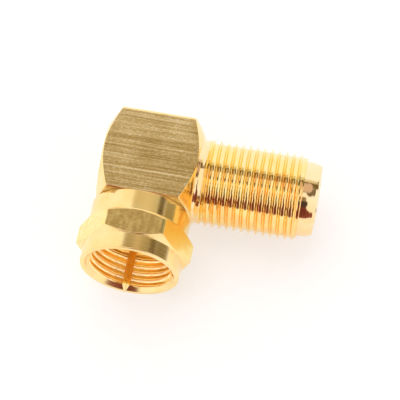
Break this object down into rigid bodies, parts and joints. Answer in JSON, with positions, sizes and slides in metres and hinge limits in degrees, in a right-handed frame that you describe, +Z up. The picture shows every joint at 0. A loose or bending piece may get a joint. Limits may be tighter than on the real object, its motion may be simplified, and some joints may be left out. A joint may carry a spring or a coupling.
{
  "type": "coaxial adapter",
  "caption": "Right-angle coaxial adapter: a square elbow with a threaded socket barrel on one side and a pin plug with a loose hexagon coupling nut on the other.",
  "frame": {"origin": "under the middle of the whole adapter, level with the lowest flat of the coupling nut", "axes": "+X along the socket barrel, out of its mouth; -Y along the plug, out of its nut; +Z up"},
  "size_m": [0.0244, 0.0194, 0.0109],
  "materials": {
    "brushed_gold_plate": "thin gold plate over sawn and turned brass: faint parallel lines on the flats, bright on the turned barrel",
    "polished_gold_plate": "thin gold plate over turned brass, bright",
    "spring_bronze": "satin, tin bronze strip and rod",
    "insulator_plastic": "natural white polyethylene, slightly waxy"
  },
  "bodies": {
    "adapter_body": {"elbow_body": "brushed_gold_plate", "rear_cap": "polished_gold_plate", "inner_insulator": "insulator_plastic", "mouth_insulator": "insulator_plastic", "socket_contact": "spring_bronze", "centre_pin": "polished_gold_plate", "pin_insulator": "insulator_plastic", "spigot": "polished_gold_plate"},
    "slip_ring": {"slip_washer": "spring_bronze"},
    "nut": {"coupling_nut": "polished_gold_plate"}
  },
  "joints": [
    {"name": "nut_float", "type": "slide", "parent": "adapter_body", "child": "slip_ring", "axis": [0, -1, 0], "range_m": [0, 0.0005]},
    {"name": "nut_spin", "type": "hinge", "parent": "slip_ring", "child": "nut", "pos_m": [-0.00606, -0.004, 0.00545], "axis": [0, -1, 0], "continuous": true}
  ]
}
